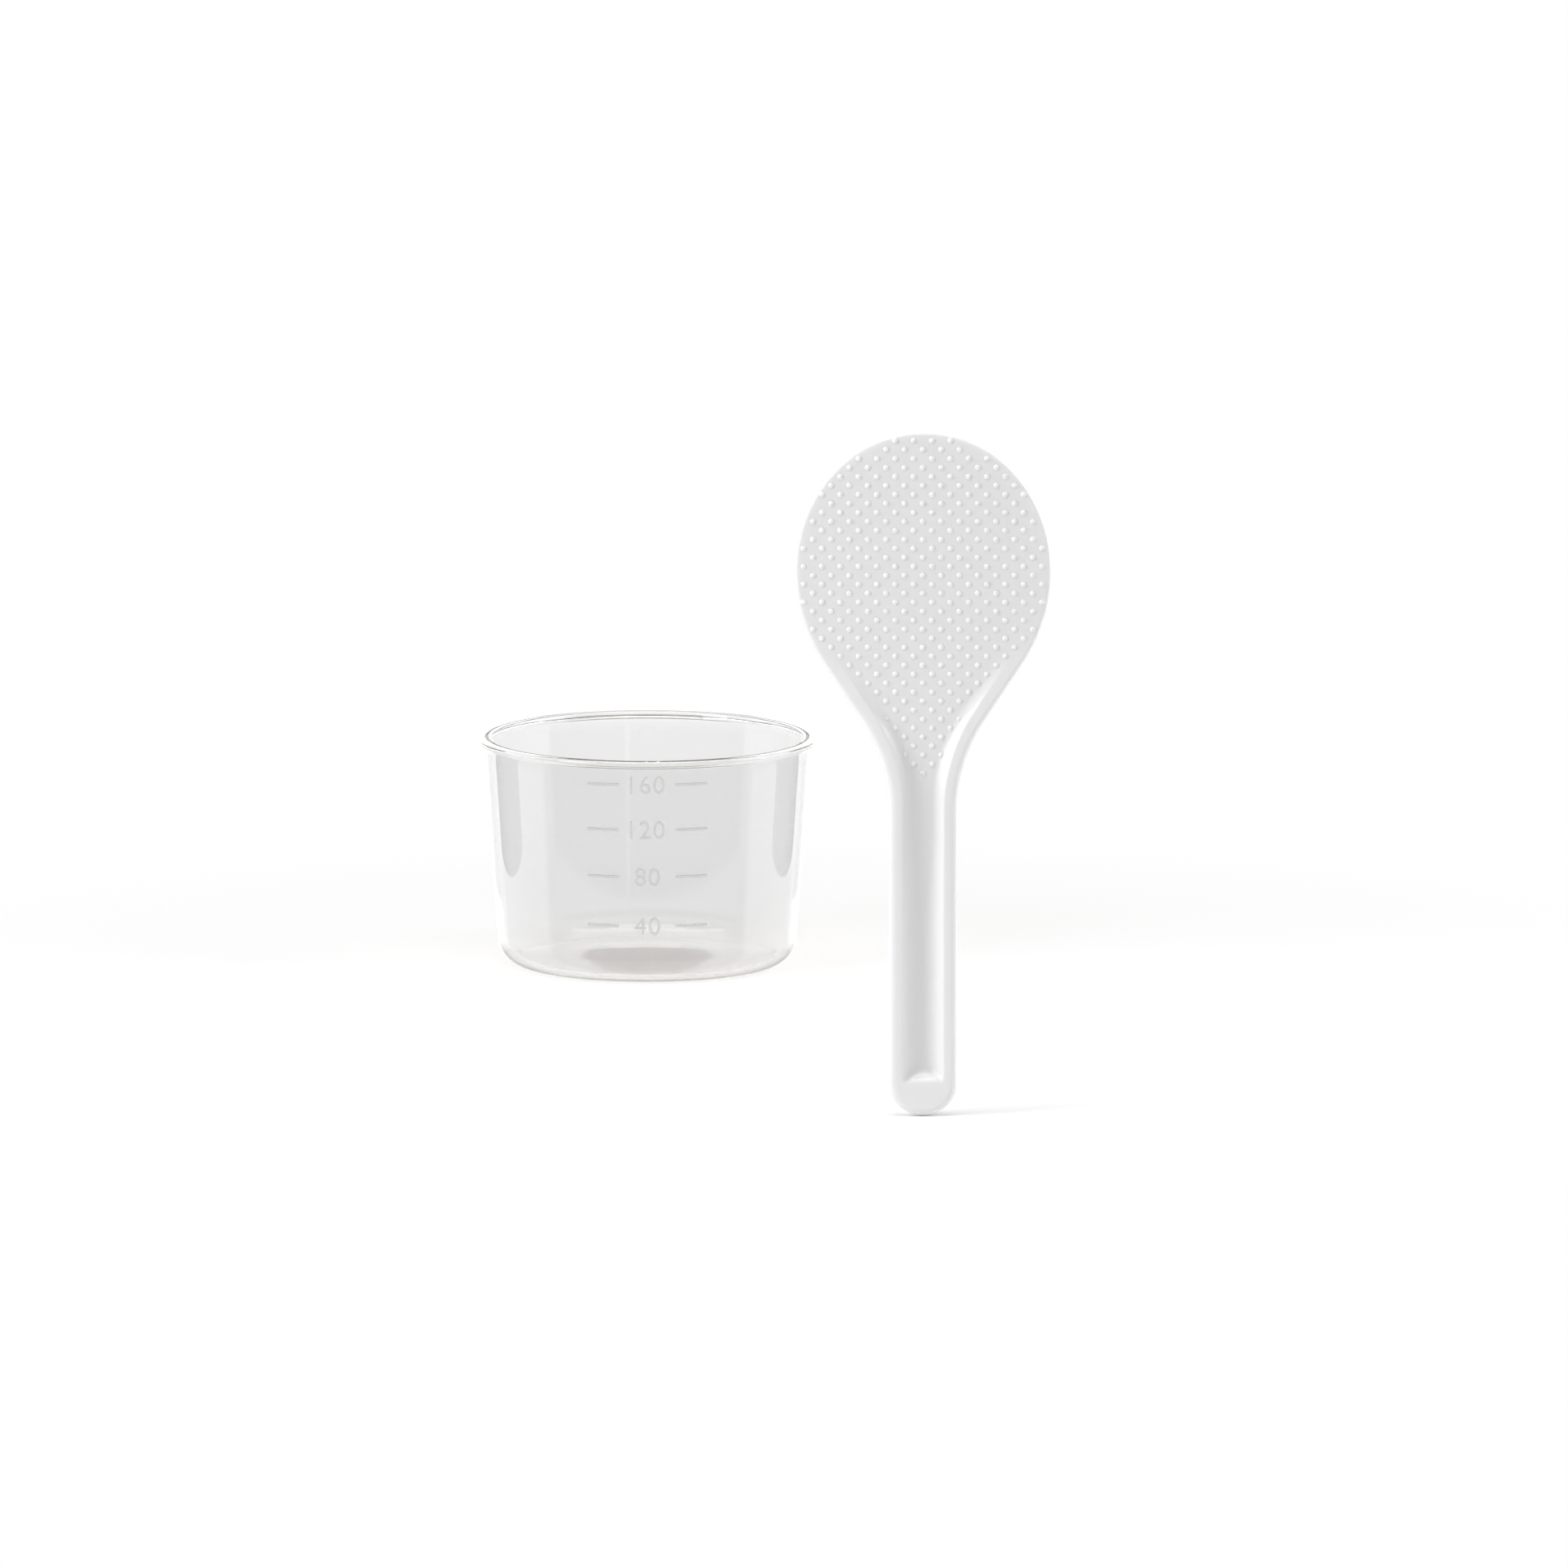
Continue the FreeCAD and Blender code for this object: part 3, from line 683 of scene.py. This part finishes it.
class RICESET_OT_rice_paddle(bpy.types.Operator):
    """Models the white paddle and the dots on its blade"""

    bl_idname = "riceset.rice_paddle"
    bl_label = "Rice Paddle"

    def execute(self, context):
        settings = context.scene.rice_paddle
        low, high = PADDLE_BOX
        shape = PaddleShape(settings, high.z - low.z)
        satin = white_polypropylene("satin_polypropylene", settings.white, roughness=0.25, grain_depth=0.03)
        # The dots' whiter colour is a painted highlight; their roughness is about that of the blade.
        polished = white_polypropylene("painted_highlight_polypropylene", settings.polished, roughness=0.24,
                                       grain_depth=0.01)
        body = paddle_body(shape)
        dots = paddle_dots(shape)
        back = max(v.co.y for v in body.verts)
        place = Vector(((low.x + high.x) / 2, high.y - back, low.z))
        for bm in (body, dots):
            bmesh.ops.translate(bm, verts=bm.verts, vec=place)
        if any(not edge.is_manifold for edge in body.edges):
            raise RuntimeError("the paddle isn't one closed mesh")
        paddle = make_object("white_paddle", body, satin)
        grip = make_object("paddle_dots", dots, polished, math.radians(60))
        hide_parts("rice_paddle")
        for piece in (paddle, grip):
            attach(piece, "paddle")
        return {"FINISHED"}


def studio_floor(settings, middle):
    """Pale floor that shows white to the eye and through glass, and keeps the shadows near the set."""
    material, tree = new_material("studio_floor")
    path = add_node(tree, "ShaderNodeLightPath")
    seen = add_node(tree, "ShaderNodeMath", operation="MAXIMUM",
                    links={0: path.outputs["Is Camera Ray"], 1: path.outputs["Is Transmission Ray"]})
    lift = add_node(tree, "ShaderNodeMath", {0: seen.outputs[0]}, operation="MULTIPLY")
    lift.inputs[1].default_value = settings.floor_lift
    place = add_node(tree, "ShaderNodeTexCoord")
    apart = add_node(tree, "ShaderNodeVectorMath", {0: place.outputs["Object"]}, operation="DISTANCE")
    apart.inputs[1].default_value = middle
    fade = add_node(tree, "ShaderNodeMapRange", {"Value": apart.outputs["Value"]},
                    interpolation_type="SMOOTHSTEP",
                    From_Min=settings.shade_near, From_Max=settings.shade_far)
    plain = add_node(tree, "ShaderNodeMath", {0: seen.outputs[0], 1: fade.outputs["Result"]},
                     operation="MULTIPLY")
    paint = add_node(tree, "ShaderNodeBsdfDiffuse", Color=settings.floor_white)
    glow = add_node(tree, "ShaderNodeEmission", {"Strength": lift.outputs[0]})
    lifted = add_node(tree, "ShaderNodeAddShader", {0: paint.outputs[0], 1: glow.outputs[0]})
    white = add_node(tree, "ShaderNodeEmission", Strength=1.0)
    mixed = add_node(tree, "ShaderNodeMixShader",
                     {0: plain.outputs[0], 1: lifted.outputs[0], 2: white.outputs[0]})
    add_node(tree, "ShaderNodeOutputMaterial", {"Surface": mixed.outputs[0]})
    drop = 0.1 * MM
    bm = bmesh.new()
    bmesh.ops.create_grid(bm, x_segments=1, y_segments=1, size=settings.floor_size / 2)
    bmesh.ops.translate(bm, verts=bm.verts, vec=(0, 0, -drop))
    floor = make_object("floor", bm, material)
    floor.visible_glossy = False


def felt(name, dye):
    """Matt felt: one flat tone without shine, which the cup mirrors."""
    material, tree = new_material(name)
    cloth = add_node(tree, "ShaderNodeBsdfDiffuse", Color=dye)
    add_node(tree, "ShaderNodeOutputMaterial", {"Surface": cloth.outputs[0]})
    return material


def stand_flag(name, bm, material, through_glass):
    """Screen that gloss shows, and glass too if asked, but that the camera and the lamps don't see."""
    screen = make_object(name, bm, material)
    screen.visible_camera = False
    screen.visible_diffuse = False
    screen.visible_shadow = False
    screen.visible_transmission = through_glass


def front_flag(material):
    """Low dark screen on an arc in front of the cup, which gives its middle a grey tone."""
    radius = 0.4
    height = 0.045
    bearing = math.radians(80)
    bm = bmesh.new()
    foot = Vector((-radius * math.sin(bearing), -radius * math.cos(bearing), 0))
    verts = [bm.verts.new(foot), bm.verts.new(foot + Vector((0, 0, height)))]
    edge = bm.edges.new(verts)
    bmesh.ops.spin(bm, geom=[*verts, edge], cent=(0, 0, 0), axis=(0, 0, 1), angle=2 * bearing, steps=24)
    stand_flag("flag_front", bm, material, True)


def side_flag(name, material, side):
    """Dark card with a round foot beside the cup, which gives its wall a dark streak."""
    width = 0.064
    height = 0.045
    foot_round = 0.007
    beside = 0.113
    behind = 0.038
    turn_in = 20
    squash = 2 * foot_round / width
    bm = bmesh.new()
    bmesh.ops.create_grid(bm, x_segments=1, y_segments=1, size=0.5)
    bmesh.ops.translate(bm, verts=bm.verts, vec=(0, 0.5, 0))
    bmesh.ops.scale(bm, verts=bm.verts, vec=(width, height / squash, 1))
    feet = [v for v in bm.verts if v.co.y < 0.1 * width]
    bmesh.ops.bevel(bm, geom=feet, offset=0.49 * width, offset_type="OFFSET", segments=10, profile=0.5,
                    affect="VERTICES", material=-1)
    bmesh.ops.scale(bm, verts=bm.verts, vec=(1, squash, 1))
    bmesh.ops.rotate(bm, verts=bm.verts, cent=(0, 0, 0), matrix=Matrix.Rotation(math.pi / 2, 3, "X"))
    turn = Matrix.Rotation(math.radians(90 + turn_in * side), 3, "Z")
    bmesh.ops.rotate(bm, verts=bm.verts, cent=(0, 0, 0), matrix=turn)
    bmesh.ops.translate(bm, verts=bm.verts, vec=(beside * side, behind, 0))
    stand_flag(name, bm, material, False)


def back_flag(material):
    """Card behind the cup that its floor mirrors, which gives the floor its dark middle."""
    half_width = 0.034
    half_height = 0.16
    middle_height = 0.27
    behind = 1.2
    bm = bmesh.new()
    bmesh.ops.create_grid(bm, x_segments=1, y_segments=1, size=1.0)
    bmesh.ops.scale(bm, verts=bm.verts, vec=(half_width, half_height, 1))
    bmesh.ops.rotate(bm, verts=bm.verts, cent=(0, 0, 0), matrix=Matrix.Rotation(math.pi / 2, 3, "X"))
    bmesh.ops.translate(bm, verts=bm.verts, vec=(0, behind, middle_height))
    stand_flag("flag_back", bm, material, True)


def dark_flags(settings):
    """Flags that give the cup its grey middle, its dark floor and the dark streaks at its sides."""
    black = felt("black_felt", settings.flag)
    back_flag(felt("brown_felt", settings.card))
    front_flag(black)
    side_flag("flag_left", black, -1)
    side_flag("flag_right", black, 1)


def white_room(settings):
    """World that is white to the eye and through glass, darker in front to gloss, and soft to the rest."""
    world = bpy.data.worlds.new("white_room")
    world.use_nodes = True
    tree = world.node_tree
    tree.nodes.clear()
    path = add_node(tree, "ShaderNodeLightPath")
    place = add_node(tree, "ShaderNodeTexCoord")
    direction = add_node(tree, "ShaderNodeSeparateXYZ", {0: place.outputs["Generated"]})
    behind = add_node(tree, "ShaderNodeMapRange", {"Value": direction.outputs["Y"]},
                      From_Min=-0.2, From_Max=-0.1, To_Min=0.15, To_Max=3.2)
    below = add_node(tree, "ShaderNodeMapRange", {"Value": direction.outputs["Z"]},
                     From_Min=-0.3, From_Max=-0.05, To_Min=0.3)
    rear = add_node(tree, "ShaderNodeMapRange", {"Value": direction.outputs["Y"]},
                    From_Min=0.35, From_Max=0.7, To_Min=1.0, To_Max=0.75)
    upper = add_node(tree, "ShaderNodeMath", {0: behind.outputs["Result"], 1: rear.outputs["Result"]},
                     operation="MULTIPLY")
    shine = add_node(tree, "ShaderNodeMath", {0: upper.outputs[0], 1: below.outputs["Result"]},
                     operation="MULTIPLY")
    seen = add_node(tree, "ShaderNodeMath", operation="MAXIMUM",
                    links={0: path.outputs["Is Camera Ray"], 1: path.outputs["Is Transmission Ray"]})
    room = add_node(tree, "ShaderNodeBackground", Color=linear("#ffffff"), Strength=settings.room)
    gloss = add_node(tree, "ShaderNodeBackground", {"Strength": shine.outputs[0]}, Color=linear("#ffffff"))
    white = add_node(tree, "ShaderNodeBackground", Color=linear("#ffffff"), Strength=1.0)
    lit = add_node(tree, "ShaderNodeMixShader",
                   {0: path.outputs["Is Glossy Ray"], 1: room.outputs[0], 2: gloss.outputs[0]})
    mixed = add_node(tree, "ShaderNodeMixShader",
                     {0: seen.outputs[0], 1: lit.outputs[0], 2: white.outputs[0]})
    add_node(tree, "ShaderNodeOutputWorld", {"Surface": mixed.outputs[0]})
    bpy.context.scene.world = world


def softbox(name, place, target, width, height, power):
    """Rectangular area lamp aimed at a point, unseen by the camera and through glass."""
    lamp = bpy.data.lights.new(name, "AREA")
    lamp.shape = "RECTANGLE"
    lamp.size = width
    lamp.size_y = height
    lamp.energy = power
    box = bpy.data.objects.new(name, lamp)
    box.location = place
    box.rotation_euler = (Vector(target) - Vector(place)).to_track_quat("-Z", "Y").to_euler()
    box.visible_camera = False
    box.visible_transmission = False
    bpy.context.scene.collection.objects.link(box)


def photo_camera(settings):
    """Long-lens camera at the photograph's angle, with no perspective."""
    lens = bpy.data.cameras.new("camera")
    lens.type = "ORTHO"
    lens.ortho_scale = settings.frame_width
    lens.clip_end = 50.0
    camera = bpy.data.objects.new("camera", lens)
    distance = 2.0
    aim = Vector((settings.aim_right, -settings.aim_forward, settings.aim_height))
    back = Vector((0, -math.cos(settings.elevation), math.sin(settings.elevation)))
    camera.location = aim + back * distance
    camera.rotation_euler = (-back).to_track_quat("-Z", "Y").to_euler()
    bpy.context.scene.collection.objects.link(camera)
    bpy.context.scene.camera = camera


class RICESET_OT_stage(bpy.types.Operator):
    """Sets the floor, the light and the camera"""

    bl_idname = "riceset.stage"
    bl_label = "Studio Stage"

    def execute(self, context):
        settings = context.scene.rice_stage
        middle = (settings.aim_right, -settings.aim_forward, 0.0)
        studio_floor(settings, middle)
        dark_flags(settings)
        white_room(settings)
        target = (settings.aim_right, -settings.aim_forward, settings.aim_height)
        softbox("softbox_left", (-0.55, -0.45, 0.35), target, 0.3, 0.6, settings.key)
        softbox("softbox_right", (0.65, -0.17, 0.25), target, 0.3, 0.5, settings.fill)
        softbox("softbox_top", (0.0, -0.45, 1.15), target, 0.9, 0.7, settings.top)
        photo_camera(settings)
        context.scene.view_settings.view_transform = "Standard"
        return {"FINISHED"}


class RICESET_PT_pieces(bpy.types.Panel):
    """Lists the pieces of the set and the stage"""

    bl_idname = "RICESET_PT_pieces"
    bl_label = "Rice Cup and Paddle"
    bl_space_type = "VIEW_3D"
    bl_region_type = "UI"
    bl_category = "Rice Set"

    def draw(self, context):
        for operator in OPERATORS:
            self.layout.operator(operator.bl_idname)
        for settings in (context.scene.rice_cup, context.scene.rice_paddle, context.scene.rice_stage):
            box = self.layout.box()
            for name in settings.__annotations__:
                box.prop(settings, name)


SETTINGS = {"rice_cup": CupSettings, "rice_paddle": PaddleSettings, "rice_stage": StageSettings}
OPERATORS = (RICESET_OT_measuring_cup, RICESET_OT_rice_paddle, RICESET_OT_stage)
CLASSES = (*SETTINGS.values(), *OPERATORS, RICESET_PT_pieces)


def register():
    for item in CLASSES:
        bpy.utils.register_class(item)
    for name, group in SETTINGS.items():
        setattr(bpy.types.Scene, name, PointerProperty(type=group))


def unregister():
    for name in SETTINGS:
        delattr(bpy.types.Scene, name)
    for item in reversed(CLASSES):
        bpy.utils.unregister_class(item)


def main():
    register()
    bpy.ops.riceset.measuring_cup()
    bpy.ops.riceset.rice_paddle()
    bpy.ops.riceset.stage()


if __name__ == "__main__":
    main()
